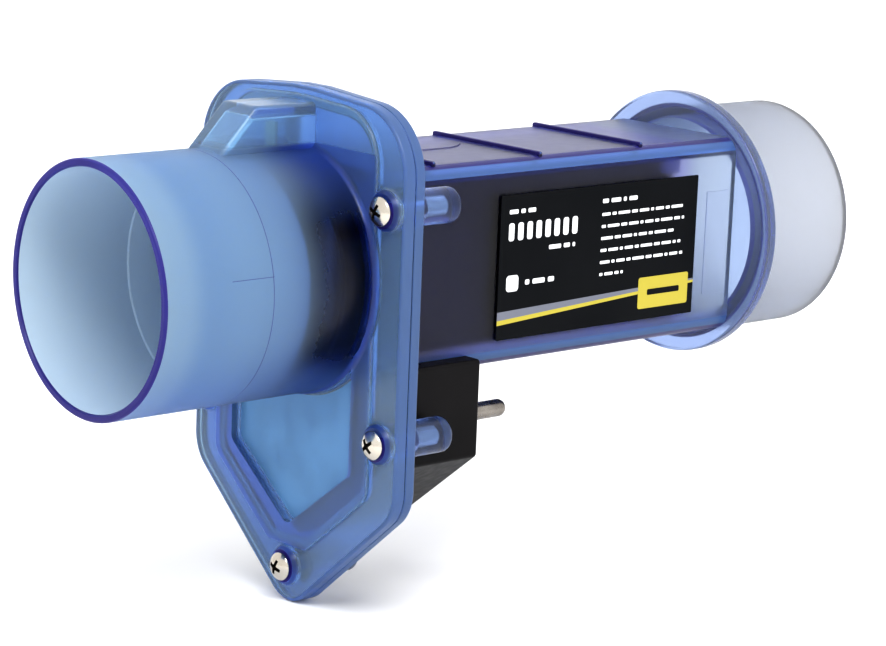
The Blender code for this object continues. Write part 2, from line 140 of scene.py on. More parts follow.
def inset(points, distance):
    """The same closed outline moved inward by a distance."""
    moved = []
    for i, here in enumerate(points):
        before = (here - points[i - 1]).normalized()
        after = (points[(i + 1) % len(points)] - here).normalized()
        inward = Vector((-before.y - after.y, before.x + after.x)).normalized()
        lean = inward.dot(Vector((-before.y, before.x)))
        moved.append(here + inward * distance / lean)
    return moved


def circle(radius, steps=128, y=0.0, z=0.0):
    """Points round a circle in Y, Z."""
    turns = [2 * pi * i / steps for i in range(steps)]
    return [Vector((y + radius * cos(t), z + radius * sin(t))) for t in turns]


def rectangle(half_width, bottom, top, corner):
    """A rectangle centred on y = 0, with round corners."""
    return rounded(symmetric([(half_width, bottom, corner), (half_width, top, corner)]))


PLATE_OUTLINE = rounded(symmetric([
    (0.0, -0.0928, 0.0098), (PLATE_HALF, -0.0575, 0.0120),
    (PLATE_HALF, 0.0440, 0.0180), (0.0, 0.0472, 0.0600)]))
LAND_OUTLINE = rounded(symmetric([
    (0.0078, -0.0745, 0.0030), (0.0316, -0.0550, 0.0060),
    (0.0316, 0.0432, 0.0140), (0.0, 0.0450, 0.0600)]))


# ---------------------------------------------------------------- solids

def new_object(name, data):
    """An object in the scene that shows a mesh, a light or a camera."""
    obj = bpy.data.objects.new(name, data)
    bpy.context.scene.collection.objects.link(obj)
    return obj


def mesh_piece(name, verts, faces):
    """A new object whose faces all point out."""
    mesh = bpy.data.meshes.new(name)
    mesh.from_pydata(verts, [], faces)
    work = bmesh.new()
    work.from_mesh(mesh)
    bmesh.ops.recalc_face_normals(work, faces=work.faces)
    work.to_mesh(mesh)
    work.free()
    return new_object(name, mesh)


def loft(name, rings):
    """A closed solid through rings of 3-D points, all with the same count."""
    count = len(rings[0])
    verts = [point for ring in rings for point in ring]
    faces = [list(range(count)), [(len(rings) - 1) * count + j for j in range(count)]]
    for i in range(len(rings) - 1):
        for j in range(count):
            k = (j + 1) % count
            faces.append((i * count + j, i * count + k, (i + 1) * count + k, (i + 1) * count + j))
    return mesh_piece(name, verts, faces)


def eased(front, back, front_r, back_r, steps=5):
    """Stations and insets of a slab with rounded edges; a negative radius flares."""
    rows = []
    for k in range(steps + 1 if front_r else 1):
        turn = pi / 2 * k / steps if front_r else pi / 2
        rows.append((front + abs(front_r) * (1 - cos(turn)), front_r * (1 - sin(turn))))
    for k in range(steps + 1 if back_r else 1):
        turn = pi / 2 * (1 - k / steps) if back_r else pi / 2
        rows.append((back - abs(back_r) * (1 - cos(turn)), back_r * (1 - sin(turn))))
    return rows


def slab(name, outline, front, back, front_r=0.0, back_r=0.0):
    """An outline in Y, Z with thickness along X and rounded edges."""
    rows = eased(front, back, front_r, back_r)
    return loft(name, [[(x, p.x, p.y) for p in inset(outline, away)] for x, away in rows])


def side_slab(name, outline, half_width, edge_r=0.0):
    """An outline of (x, z) points with thickness along Y and rounded edges."""
    rows = eased(-half_width, half_width, edge_r, edge_r)
    return loft(name, [[(p.x, y, p.y) for p in inset(outline, away)] for y, away in rows])


def lathe(name, profile, y=0.0, z=0.0, steps=128):
    """A solid turned about a line along X through (x, radius) points."""
    return loft(name, [[(x, p.x, p.y) for p in circle(radius, steps, y, z)]
                       for x, radius in profile])


def at_screws(name, profile, steps=32):
    """The same turned solid at every screw's place."""
    return [lathe(f"{name}_{i}", profile, y, z, steps) for i, (y, z) in enumerate(SCREW_PLACES)]


def at_pins(name, profile, steps=32):
    """The same turned solid at every pin's place."""
    return [lathe(f"{name}_{i}", profile, y, PIN_Z, steps) for i, y in enumerate(PIN_PLACES)]


def arc(x, radius, size, start, end, steps=5):
    """(x, radius) points round part of a circle, angles in degrees from +X."""
    turns = [radians(start + (end - start) * k / steps) for k in range(steps + 1)]
    return [(x + size * cos(t), radius + size * sin(t)) for t in turns]


def box(name, low, high):
    """A block between two opposite corners."""
    corners = [(low[1], low[2]), (high[1], low[2]), (high[1], high[2]), (low[1], high[2])]
    return loft(name, [[(x, y, z) for y, z in corners] for x in (low[0], high[0])])


def soften(obj, width, segments=3, angle=radians(30)):
    """Rounds an object's edges with a modifier."""
    edge = obj.modifiers.new("edges", "BEVEL")
    edge.width = width
    edge.segments = segments
    edge.limit_method = "ANGLE"
    edge.angle_limit = angle
    edge.harden_normals = False
    return obj


def combine(obj, tools, operation):
    """Adds a Boolean modifier for each tool."""
    for tool in tools:
        change = obj.modifiers.new(operation.lower(), "BOOLEAN")
        change.operation = operation
        change.solver = "MANIFOLD"
        change.object = tool


def remove(obj):
    """Removes an object with its mesh."""
    mesh = obj.data
    bpy.data.objects.remove(obj)
    bpy.data.meshes.remove(mesh)


def bake(obj, *tools):
    """Keeps what an object's modifiers make of it, and removes the tools."""
    bpy.context.view_layer.update()
    evaluated = obj.evaluated_get(bpy.context.evaluated_depsgraph_get())
    mesh = bpy.data.meshes.new_from_object(evaluated)
    mesh.name = obj.name
    obj.modifiers.clear()
    old = obj.data
    obj.data = mesh
    bpy.data.meshes.remove(old)
    for tool in tools:
        remove(tool)
    return obj


def carve(obj, added=(), removed=()):
    """Joins some solids to an object, then cuts others out of it."""
    combine(obj, added, "UNION")
    combine(obj, removed, "DIFFERENCE")
    return bake(obj, *added, *removed)


def finish_mesh(obj, sharp=radians(34)):
    """Removes slivers, and shades rounded edges smooth and flat faces flat."""
    work = bmesh.new()
    work.from_mesh(obj.data)
    bmesh.ops.remove_doubles(work, verts=work.verts, dist=0.000004)
    bmesh.ops.dissolve_degenerate(work, edges=work.edges, dist=0.000004)
    work.to_mesh(obj.data)
    work.free()
    obj.data.shade_smooth()
    obj.data.set_sharp_from_angle(angle=sharp)
    normals = obj.modifiers.new("even_normals", "WEIGHTED_NORMAL")
    normals.keep_sharp = True
    normals.weight = 90
    return obj


def outside(outline, point):
    """True where a point in Y, Z is outside a closed outline."""
    crossings = 0
    for a, b in zip(outline, outline[1:] + outline[:1]):
        if (a.y > point.z) != (b.y > point.z):
            crossings += point.y < a.x + (point.z - a.y) / (b.y - a.y) * (b.x - a.x)
    return crossings % 2 == 0


def off_axis(point, y=0.0, z=0.0):
    """Distance from a line along X: the pipe's axis, unless another is given."""
    return Vector((point.y - y, point.z - z)).length


def place(obj, body, finish, nodes=()):
    """Gives a piece its material, and joins it to the body that it rides on."""
    obj.data.materials.clear()
    obj.data.materials.append(finish)
    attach(obj, body)
    if nodes:
        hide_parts(*nodes)
    return obj


def add_finish(obj, finish, wanted):
    """Gives a second material to the faces whose centre and normal pass a test."""
    obj.data.materials.append(finish)
    index = len(obj.data.materials) - 1
    for face in obj.data.polygons:
        if wanted(face.center, face.normal):
            face.material_index = index


# ---------------------------------------------------------------- materials

def new_material(name):
    """A material with its node tree and its Principled shader."""
    made = bpy.data.materials.new(name)
    made.use_nodes = True
    tree = made.node_tree
    return made, tree, tree.nodes["Principled BSDF"]


def add_node(tree, kind, **values):
    """A node with some of its settings or input values."""
    node = tree.nodes.new(kind)
    for key, value in values.items():
        if hasattr(node, key):
            setattr(node, key, value)
        else:
            node.inputs[key.replace("_", " ")].default_value = value
    return node


def noise(tree, scale, detail=3.0, roughness=0.5):
    """Noise that stays fixed to the piece."""
    where = tree.nodes.new("ShaderNodeTexCoord")
    made = add_node(tree, "ShaderNodeTexNoise", Scale=scale, Detail=detail, Roughness=roughness)
    tree.links.new(where.outputs["Object"], made.inputs["Vector"])
    return made.outputs["Fac"]


def map_range(tree, value, start, end, low=0.0, high=1.0, **settings):
    """A value's start..end mapped to low..high."""
    ramp = add_node(tree, "ShaderNodeMapRange", **settings)
    for name, number in (("From Min", start), ("From Max", end), ("To Min", low), ("To Max", high)):
        ramp.inputs[name].default_value = number
    tree.links.new(value, ramp.inputs["Value"])
    return ramp.outputs["Result"]


def spread(tree, source, low, high):
    """Maps a noise's middle range to low..high."""
    return map_range(tree, source, 0.3, 0.7, low, high)


def bump(tree, shader, source, distance, strength=1.0):
    """Lets a noise raise and lower the surface a little."""
    node = add_node(tree, "ShaderNodeBump")
    node.inputs["Strength"].default_value = strength
    node.inputs["Distance"].default_value = distance
    tree.links.new(source, node.inputs["Height"])
    tree.links.new(node.outputs["Normal"], shader.inputs["Normal"])


def place_in_frame(tree):
    """X and Z of a point of the surface."""
    where = tree.nodes.new("ShaderNodeTexCoord")
    split = tree.nodes.new("ShaderNodeSeparateXYZ")
    tree.links.new(where.outputs["Object"], split.inputs[0])
    return split.outputs["X"], split.outputs["Z"]


def ramp_along_x(tree, stops):
    """A colour that changes along the pipe's axis, from (x, colour) stops."""
    first, last = stops[0][0], stops[-1][0]
    ramp = tree.nodes.new("ShaderNodeValToRGB")
    ramp.color_ramp.interpolation = "EASE"
    marks = ramp.color_ramp.elements
    for i, (x, colour) in enumerate(stops):
        at = (x - first) / (last - first)
        mark = marks[i] if i in (0, len(stops) - 1) and len(marks) > i else marks.new(at)
        mark.position = at
        mark.color = (*colour, 1)
    tree.links.new(map_range(tree, place_in_frame(tree)[0], first, last), ramp.inputs["Fac"])
    return ramp.outputs["Color"]


def profile_along_x(tree, stops):
    """Clear share and roughness along the pipe's axis, from (x, clear, roughness) stops."""
    colour = ramp_along_x(tree, [(x, (clear, roughness, 0)) for x, clear, roughness in stops])
    shares = tree.nodes.new("ShaderNodeSeparateColor")
    tree.links.new(colour, shares.inputs[0])
    return shares.outputs["Red"], shares.outputs["Green"]


def smooth_ramp(tree, value, start, end):
    """0 at start and 1 at end, eased."""
    return map_range(tree, value, start, end, interpolation_type="SMOOTHSTEP")


def calculated(tree, operation, *values):
    """The result of a Math node on numbers and sockets."""
    node = add_node(tree, "ShaderNodeMath", operation=operation)
    for i, value in enumerate(values):
        if isinstance(value, (int, float)):
            node.inputs[i].default_value = value
        else:
            tree.links.new(value, node.inputs[i])
    return node.outputs[0]


def window_mask(tree, x_range, z_range):
    """1 in a band across the pipe at its middle height, 0 outside it."""
    x, z = place_in_frame(tree)
    begin = smooth_ramp(tree, x, x_range[0], x_range[1])
    end = smooth_ramp(tree, x, x_range[3], x_range[2])
    height = smooth_ramp(tree, calculated(tree, "ABSOLUTE", z), z_range[1], z_range[0])
    return calculated(tree, "MULTIPLY", calculated(tree, "MULTIPLY", begin, end), height)


def crisp_mask(tree, plate_at, above):
    """1 on the plate past an x, and on what stands above the pipe; 0 on the pipe."""
    x, z = place_in_frame(tree)
    plate = smooth_ramp(tree, x, plate_at - 0.0005, plate_at + 0.0005)
    return calculated(tree, "MAXIMUM", plate, smooth_ramp(tree, z, above, above + 0.001))


def blended(tree, share, first, second):
    """A value or colour that goes from first to second with share."""
    colours = not isinstance(second, (int, float))
    mix = add_node(tree, "ShaderNodeMix", data_type="RGBA" if colours else "FLOAT")
    slots = (6, 7, 2) if colours else (2, 3, 0)
    tree.links.new(share, mix.inputs[0])
    for slot, value in zip(slots, (first, second)):
        if isinstance(value, bpy.types.NodeSocket):
            tree.links.new(value, mix.inputs[slot])
        else:
            mix.inputs[slot].default_value = (*value, 1) if colours else value
    return mix.outputs[slots[2]]


def wandering(tree, value, grain, wander):
    """A value that noise moves up and down by wander."""
    total = add_node(tree, "ShaderNodeMath", operation="ADD", use_clamp=True)
    tree.links.new(value, total.inputs[0])
    tree.links.new(spread(tree, noise(tree, grain), -wander, wander), total.inputs[1])
    return total.outputs[0]


def frosted_plastic(name, tint, dye, stops, gloss=0.25, window=None, crisp=None, below=None,
                    cloud=0.004):
    """Moulded plastic, part clear and part milky, frosted by the mould's surface.

    tint is a colour, or (x, colour) stops of one that changes along the pipe. dye is a
    colour and its density; it shows with depth, so thin walls are pale and long paths are
    dark. Each stop gives an x, the clear share there and the roughness there. window is a
    band, polished clear, as window_mask takes it. crisp is the tint, the clear share, the
    roughness and the place of what crisp_mask covers. below is painted shade: a darker tint
    and a clear share that the plastic turns to between two heights, and how far. cloud is
    how uneven it is."""
    made, tree, shader = new_material(name)
    shader.inputs["Specular IOR Level"].default_value = gloss
    shader.inputs["IOR"].default_value = 1.40
    clear, rough = profile_along_x(tree, stops)
    colour = tint
    if isinstance(tint, list):
        colour = ramp_along_x(tree, tint)
    # painted shade: between the two heights the tint turns darker, with a clear share of its own
    if below:
        shade_tint, shade_clear, start, end, share = below
        low = calculated(tree, "MULTIPLY", smooth_ramp(tree, place_in_frame(tree)[1], start, end), share)
        colour = blended(tree, low, colour, shade_tint)
        clear = blended(tree, low, clear, shade_clear)
    if window:
        mask = window_mask(tree, *window)
        clear = blended(tree, mask, clear, 1.0)
        rough = blended(tree, mask, rough, POLISHED)
    if crisp:
        crisp_tint, crisp_clear, crisp_rough, place_at = crisp
        mask = crisp_mask(tree, *place_at)
        clear = blended(tree, mask, clear, crisp_clear)
        rough = blended(tree, mask, rough, crisp_rough)
        colour = blended(tree, mask, colour, crisp_tint)
    if isinstance(colour, tuple):
        shader.inputs["Base Color"].default_value = (*colour, 1)
    else:
        tree.links.new(colour, shader.inputs["Base Color"])
    tree.links.new(wandering(tree, clear, 120, cloud), shader.inputs["Transmission Weight"])
    tree.links.new(wandering(tree, rough, 300, 0.02), shader.inputs["Roughness"])
    inside = add_node(tree, "ShaderNodeVolumeAbsorption")
    inside.inputs["Color"].default_value = (*dye[0], 1)
    inside.inputs["Density"].default_value = dye[1]
    tree.links.new(inside.outputs["Volume"], tree.nodes["Material Output"].inputs["Volume"])
    return made


def even(clear, roughness):
    """Stops of a plastic that is the same all along."""
    return [(0.0, clear, roughness), (LENGTH, clear, roughness)]


def solid_finish(name, dark, light, roughness, metallic=0.0, grain=400, depth=0.00002, gloss=0.5):
    """An opaque finish with a slightly uneven colour, gloss and surface."""
    made, tree, shader = new_material(name)
    shader.inputs["Metallic"].default_value = metallic
    shader.inputs["Specular IOR Level"].default_value = gloss
    mix = add_node(tree, "ShaderNodeMix", data_type="RGBA")
    mix.inputs[6].default_value = (*dark, 1)
    mix.inputs[7].default_value = (*light, 1)
    tree.links.new(spread(tree, noise(tree, grain / 8), 0, 1), mix.inputs[0])
    tree.links.new(mix.outputs[2], shader.inputs["Base Color"])
    tree.links.new(spread(tree, noise(tree, grain), *roughness), shader.inputs["Roughness"])
    bump(tree, shader, noise(tree, grain * 5, 2), depth, 0.5)
    return made


POLISHED = 0.24              # roughness of the clear surfaces and of the frosted ones
FROSTED = 0.32
PLATES_END = 0.180           # past here the chamber is clear
COVER_DYE = ((0.15, 0.41, 0.82), 145)
COVER_TRIM_DYE = ((0.15, 0.41, 0.82), 130)
HOUSING_DYE = ((0.10, 0.22, 0.82), 220)
BOSS_DYE = ((0.30, 0.52, 0.80), 90)
BORE_PAINTED_LIGHT = (0.73, 0.88, 1.0)
PLATE_TINT = (0.57, 0.79, 0.90)
PIPE_STOPS = [(0.0, 0.79, 0.55), (0.040, 0.81, 0.55), (0.052, 0.87, 0.42), (0.0640, 0.90, 0.36)]
# tint along the pipe: painted light, paler near the rim; painted shade in a darker band behind it and
# darkest at the root
PIPE_PAINTED_SHADING = [(0.0, (0.58, 0.75, 0.82)), (0.006, (0.54, 0.71, 0.80)), (0.014, (0.40, 0.58, 0.74)),
              (0.026, (0.44, 0.62, 0.76)), (0.042, (0.43, 0.61, 0.76)), (0.059, (0.18, 0.31, 0.74))]
# below on the cover: painted shade, darker and less clear towards the pipe's underside
COVER_PLASTIC = frosted_plastic(
    "cover_frosted_plastic", PIPE_PAINTED_SHADING, COVER_DYE, PIPE_STOPS, 0.12,
    window=((0.037, 0.053, 0.0632, 0.0642), (0.014, 0.028)),
    crisp=(PLATE_TINT, 0.86, POLISHED, (LAND_FRONT, PIPE_R)),
    below=((0.18, 0.32, 0.80), 0.80, -PIPE_R * 0.3, -PIPE_R, 0.30))
# painted light: the socket's inside gets a paler tint and a milkier surface than the pipe's outside
COVER_BORE_PAINTED_LIGHT = frosted_plastic(
    "cover_bore_painted_light", BORE_PAINTED_LIGHT, COVER_TRIM_DYE, even(0.50, 0.5), 0.12)
# painted shade: dark tint on the witness ring's groove and on the parting lines' ridges
PIPE_LINE_PAINTED_SHADE = frosted_plastic(
    "witness_line_painted_shade", (0.16, 0.20, 0.45), COVER_TRIM_DYE, even(0.6, 0.4), 0.05)
# painted shade: dark violet on the pipe's front rim and on the walls of the screw holes
COVER_EDGE_PAINTED_SHADE = frosted_plastic(
    "cover_edge_painted_shade", (0.07, 0.055, 0.34), COVER_TRIM_DYE, even(0.6, 0.3), 0.05)
# painted light: the pocket's floor milky and pale, so it looks lit instead of showing the dark block
# behind; cloud gives it uneven streaks
COVER_PANEL_PAINTED_LIGHT = frosted_plastic(
    "cover_panel_painted_light", (0.26, 0.53, 0.88), COVER_TRIM_DYE, even(0.56, 0.5), cloud=0.05)
# painted shade: a darker, bluer band round the outer edge of the plate and the flange
PLATE_EDGE_PAINTED_SHADE = frosted_plastic(
    "plate_edge_painted_shade", (0.29, 0.48, 0.90), COVER_TRIM_DYE, even(0.78, 0.35), 0.08)
HOUSING_TINTS = [(FLANGE_FRONT, (0.56, 0.78, 1.0)), (FLANGE_BACK + 0.0005, (0.56, 0.78, 1.0)),
                 (FLANGE_BACK + 0.002, (0.78, 0.74, 0.92)), (PLATES_END, (0.80, 0.78, 0.92)),
                 (0.189, (0.88, 0.97, 0.86))]
# below on the housing: painted shade, darker, bluer and less clear towards the chamber's bottom
HOUSING_PLASTIC = frosted_plastic(
    "housing_frosted_plastic", HOUSING_TINTS, HOUSING_DYE,
    [(FLANGE_FRONT, 0.90, POLISHED), (FLANGE_BACK + 0.001, 0.90, POLISHED),
     (FLANGE_BACK + 0.003, 1.0, FROSTED), (PLATES_END, 1.0, FROSTED), (0.195, 0.95, 0.36)], 0.06,
    below=((0.24, 0.40, 0.80), 0.80, -0.0195, -0.0235, 0.8))
# painted shade: near-black violet on the tops of the ribs and the witness line, and in the flange's screw
# holes
HOUSING_EDGE_PAINTED_SHADE = frosted_plastic(
    "housing_edge_painted_shade", (0.050, 0.040, 0.19), HOUSING_DYE, even(0.4, 0.3), 0.05)
# painted shade and painted highlight on the chamber's corner roundings: dark violet where they face nearly
# up or down, a bluer band where they slope to the side
CORNER_PAINTED_SHADE = frosted_plastic(
    "chamber_corner_painted_shade", (0.16, 0.14, 0.55), HOUSING_DYE, even(0.85, FROSTED), 0.05)
CORNER_PAINTED_HIGHLIGHT = frosted_plastic(
    "chamber_corner_painted_highlight", (0.20, 0.36, 0.72), HOUSING_DYE, even(0.70, 0.35), 0.05)
BOSS_PLASTIC = frosted_plastic(
    "boss_frosted_plastic", (0.40, 0.50, 0.80), BOSS_DYE, even(0.95, POLISHED), 0.30)
# painted light: pale, milky surfaces in the rear bosses' screw bores
BOSS_CORE_PAINTED_LIGHT = frosted_plastic(
    "boss_core_painted_light", (0.88, 0.97, 0.92), BOSS_DYE, even(0.45, FROSTED), 0.30)
# painted shade: dark violet inside the outlet's bore up to the socket's stop and in the fillet behind the
# disc
DISC_ROOT_PAINTED_SHADE = frosted_plastic(
    "disc_root_painted_shade", (0.17, 0.15, 0.60), ((0.18, 0.42, 0.80), 150), even(0.55, FROSTED), 0.05)
DISC_PLASTIC = frosted_plastic(
    "disc_frosted_plastic", (0.60, 0.71, 0.84), ((0.24, 0.36, 0.82), 150), even(0.88, POLISHED), 0.10)
OUTLET_PLASTIC = frosted_plastic(
    "outlet_frosted_plastic", (0.80, 0.80, 0.80), ((0.36, 0.46, 0.66), 250), even(0.84, 0.60), 0.15)
# painted shade: dark on the outlet's end rim
OUTLET_EDGE_PAINTED_SHADE = frosted_plastic(
    "outlet_edge_painted_shade", (0.22, 0.23, 0.30), ((0.30, 0.44, 0.72), 250), even(0.7, 0.4), 0.1)
NATURAL_PLASTIC = frosted_plastic(
    "natural_plastic", (0.86, 0.90, 0.95), ((0.6, 0.66, 0.8), 120), even(0.6, 0.5))
BLACK_PLASTIC = solid_finish(
    "satin_black_plastic", (0.005, 0.0045, 0.005), (0.010, 0.009, 0.010), (0.34, 0.44), gloss=0.15)
RUBBER = solid_finish("black_rubber", (0.02, 0.02, 0.02), (0.035, 0.035, 0.035), (0.6, 0.75))
STAINLESS = solid_finish(
    "stainless_steel", (0.50, 0.46, 0.40), (0.68, 0.64, 0.57), (0.16, 0.26), 1.0, 700, 0.000004)
# painted shade: near-black walls in the screws' cross recesses
SCREW_RECESS_PAINTED_SHADE = solid_finish(
    "screw_recess_painted_shade", (0.012, 0.010, 0.009), (0.03, 0.026, 0.022), (0.5, 0.6), 0.6, 700, 0.000004)
PIN_STEEL = solid_finish(
    "terminal_steel", (0.16, 0.145, 0.13), (0.34, 0.315, 0.29), (0.24, 0.34), 1.0, 900, 0.000006)
TITANIUM = solid_finish(
    "titanium_strip", (0.40, 0.39, 0.38), (0.50, 0.49, 0.47), (0.30, 0.42), 1.0, 500, 0.00001)
COATED_PLATE = solid_finish(
    "coated_titanium", (0.006, 0.0055, 0.008), (0.015, 0.013, 0.018), (0.5, 0.65), 0.2, 900, 0.00003, 0.15)
SILICONE = frosted_plastic(
    "seal_silicone", (0.80, 0.90, 0.97), ((0.45, 0.55, 0.80), 120), even(0.7, 0.5))
LABEL_BLACK = solid_finish(
    "label_black_film", (0.004, 0.005, 0.007), (0.007, 0.008, 0.010), (0.30, 0.38), 0, 300, 0.00001, 0.1)
PRINT = {"grain": 300, "depth": 0.000005}
PRINT_WHITE = solid_finish(
    "label_print_white", (0.72, 0.73, 0.75), (0.80, 0.81, 0.83), (0.35, 0.45), **PRINT)
PRINT_YELLOW = solid_finish(
    "label_print_yellow", (0.42, 0.36, 0.042), (0.46, 0.39, 0.048), (0.32, 0.40), **PRINT)
PRINT_GREY = solid_finish(
    "label_print_grey", (0.14, 0.15, 0.19), (0.17, 0.18, 0.22), (0.35, 0.45), **PRINT)


# ---------------------------------------------------------------- inlet cover

def hood_outline(wall=0.0, roof_wall=0.0, foot=0.020, back=COVER_BACK, crease=0.0020):
    """Side view of the gas trap: a ramp up from the pipe and a flat roof."""
    slope = (HOOD_TOP - 0.0318) / (HOOD_RAMP_HEAD - HOOD_RAMP_FOOT)
    shift = wall * (1 + slope * slope) ** 0.5 / slope
    ramp_bottom = HOOD_RAMP_FOOT + shift + (foot - 0.0318) / slope
    roof = HOOD_TOP - roof_wall
    ramp_top = HOOD_RAMP_HEAD + shift - roof_wall / slope
    return rounded([(ramp_bottom, foot, 0.0), (back, foot, 0.0), (back, roof, 0.0),
                    (ramp_top, roof, crease)])


def pocket_outline():
    """V-shaped pocket below the pipe, with a top edge that follows the pipe."""
    half_width = 0.0244
    pipe = PIPE_R + 0.0006
    steps = 24
    start = -acos(half_width / pipe)
    sweep = pi + 2 * start
    turns = [start - sweep * k / steps for k in range(steps + 1)]
    bowl = [(pipe * cos(t), pipe * sin(t), 0.0) for t in turns]
    tip = [(-half_width, -0.0505, 0.003), (0.0, -0.0690, 0.003), (half_width, -0.0505, 0.003)]
    return rounded(bowl + tip)


PLATE_RIM = inset(PLATE_OUTLINE, 0.0010)


def on_plate_rim(point):
    """True on the outer edge of the plate and the flange."""
    return COVER_FRONT - 0.0001 < point.x < FLANGE_BACK + 0.0001 and outside(PLATE_RIM, point)


def in_screw_hole(point):
    """True inside the holes that the screws pass through."""
    return any(off_axis(point, y, z) < SCREW_HOLE_R + 0.0001 for y, z in SCREW_PLACES)


def make_cover():
    """Inlet socket, plate with its land and pocket, gas-trap hood and screw bosses."""
    fillet = 0.0016
    rim = 0.0007
    cover = slab("inlet_cover_moulding", PLATE_OUTLINE, COVER_FRONT, COVER_BACK, 0.0009, 0.0003)
    land = slab("land", LAND_OUTLINE, LAND_FRONT, COVER_FRONT + 0.001, 0.0007)
    pipe_side = (arc(rim, PIPE_R - rim, rim, 180, 90)
                 + arc(LAND_FRONT - fillet, PIPE_R + fillet, fillet, -90, 0)
                 + [(COVER_FRONT + 0.0012, PIPE_R + fillet)])
    pipe = lathe("pipe", pipe_side)
    seam_z = 0.0058
    seam_y = sorted((PIPE_R - 0.0010, (PIPE_R ** 2 - seam_z ** 2) ** 0.5 + 0.00008))
    lines = [box("parting_line", (0.020, min(side * y for y in seam_y), seam_z - 0.00008),
                 (SOCKET_DEPTH - 0.0012, max(side * y for y in seam_y), seam_z + 0.00008))
             for side in (-1, 1)]
    ring_at = SOCKET_DEPTH - 0.0014
    ring = lathe("witness_ring", [
        (ring_at - 0.00014, PIPE_R + 0.0004), (ring_at - 0.00006, PIPE_R - 0.0001),
        (ring_at + 0.00006, PIPE_R - 0.0001), (ring_at + 0.00014, PIPE_R + 0.0004)])
    ring_inside = lathe("ring_inside", [(ring_at - 0.001, PIPE_R - 0.0002),
                                        (ring_at + 0.001, PIPE_R - 0.0002)])
    carve(ring, removed=[ring_inside])
    hood = side_slab("hood", hood_outline(back=COVER_FRONT + 0.0016), HOOD_HALF, 0.0012)
    bosses = at_screws("boss", [(SCREW_SEAT, 0.0044), (SCREW_SEAT + 0.0003, 0.0048),
                                (LAND_FRONT, 0.0052), (COVER_FRONT - 0.0004, 0.0056),
                                (COVER_FRONT, 0.0062), (COVER_FRONT + 0.001, 0.0062)], 48)
    pocket = slab("pocket", pocket_outline(), LAND_FRONT - 0.004, POCKET_FLOOR, 0.0, 0.0010)
    stop = SOCKET_DEPTH
    bore = lathe("bore", [(-0.002, SOCKET_R + 0.0022), (0.0, SOCKET_R + 0.0006),
                          (0.0006, SOCKET_R + 0.0002), (stop - 0.0003, SOCKET_R),
                          (stop, SOCKET_R - STOP_STEP), (stop + 0.0003, SOCKET_R - STOP_STEP - 0.0001),
                          (stop + LEAD_LENGTH - 0.001, BORE_R + 0.0001), (stop + LEAD_LENGTH, BORE_R),
                          (COVER_BACK + 0.004, BORE_R)])
    trap = side_slab("trap", hood_outline(HOOD_WALL, HOOD_ROOF, back=COVER_BACK + 0.004, crease=0.001),
                     HOOD_HALF - HOOD_WALL, 0.0008)
    holes = at_screws("hole", [(SCREW_SEAT - 0.002, SCREW_HOLE_R), (COVER_BACK + 0.002, SCREW_HOLE_R)])
    outer = slab("groove_outer", inset(LAND_OUTLINE, 0.0007), COVER_BACK - 0.0020, COVER_BACK + 0.002)
    inner = slab("groove_inner", inset(LAND_OUTLINE, 0.0029), COVER_BACK - 0.0030, COVER_BACK + 0.003)
    carve(outer, removed=[inner])
    carve(cover, [land, pipe, hood, *lines, *bosses], [pocket, bore, trap, *holes, outer, ring])
    finish_mesh(cover)
    place(cover, "cover", COVER_PLASTIC, ["inlet_cover"])
    # painted shade: dark violet on the pipe's front rim and in the screw holes
    add_finish(cover, COVER_EDGE_PAINTED_SHADE, lambda centre, normal: (
        centre.x < rim or in_screw_hole(centre)))
    # painted shade: dark tint on the witness ring and the parting lines
    add_finish(cover, PIPE_LINE_PAINTED_SHADE, lambda centre, normal: (
        abs(centre.x - ring_at) < 0.0002 and off_axis(centre) > BORE_R + 0.003
        or abs(centre.z - seam_z) < 0.0002 and 0.019 < centre.x < SOCKET_DEPTH
        and abs(centre.y) > seam_y[1] - 0.00002))
    # painted shade: darker, bluer band round the plate's outer edge
    add_finish(cover, PLATE_EDGE_PAINTED_SHADE, lambda centre, normal: on_plate_rim(centre))
    # painted light: paler, milkier surface inside the socket
    add_finish(cover, COVER_BORE_PAINTED_LIGHT, lambda centre, normal: (
        rim < centre.x < SOCKET_DEPTH + LEAD_LENGTH and off_axis(centre) < SOCKET_R + 0.0004))
    # painted light: milky, pale pocket floor
    add_finish(cover, COVER_PANEL_PAINTED_LIGHT, lambda centre, normal: (
        abs(centre.x - POCKET_FLOOR) < 0.0001 and centre.z < -0.02 and normal.x < -0.9))


def make_seal():
    """Flat ring between the plate and the flange."""
    low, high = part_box("cover_seal")
    ring = slab("cover_seal_ring", inset(LAND_OUTLINE, 0.0010), low.x, high.x, 0.0003, 0.0003)
    hollow = slab("seal_hollow", inset(LAND_OUTLINE, 0.0026), low.x - 0.001, high.x + 0.001)
    carve(ring, removed=[hollow])
    finish_mesh(ring)
    return place(ring, "cover", SILICONE, ["cover_seal"])


# ---------------------------------------------------------------- chamber housing

# the V-shaped cup behind the flange
CUP_INSIDE = rounded(symmetric([
    (0.0, -0.0653, 0.0030), (0.0238, -0.0470, 0.0030), (0.0238, -0.0300, 0.0),
    (0.0215, -0.0285, 0.0), (0.0215, -0.0200, 0.0)]))
CUP_OUTSIDE = rounded(symmetric([
    (0.0, -0.0683, 0.0050), (0.0262, -0.0481, 0.0050), (0.0262, -0.0282, 0.0), (0.0220, -0.0262, 0.0)]))


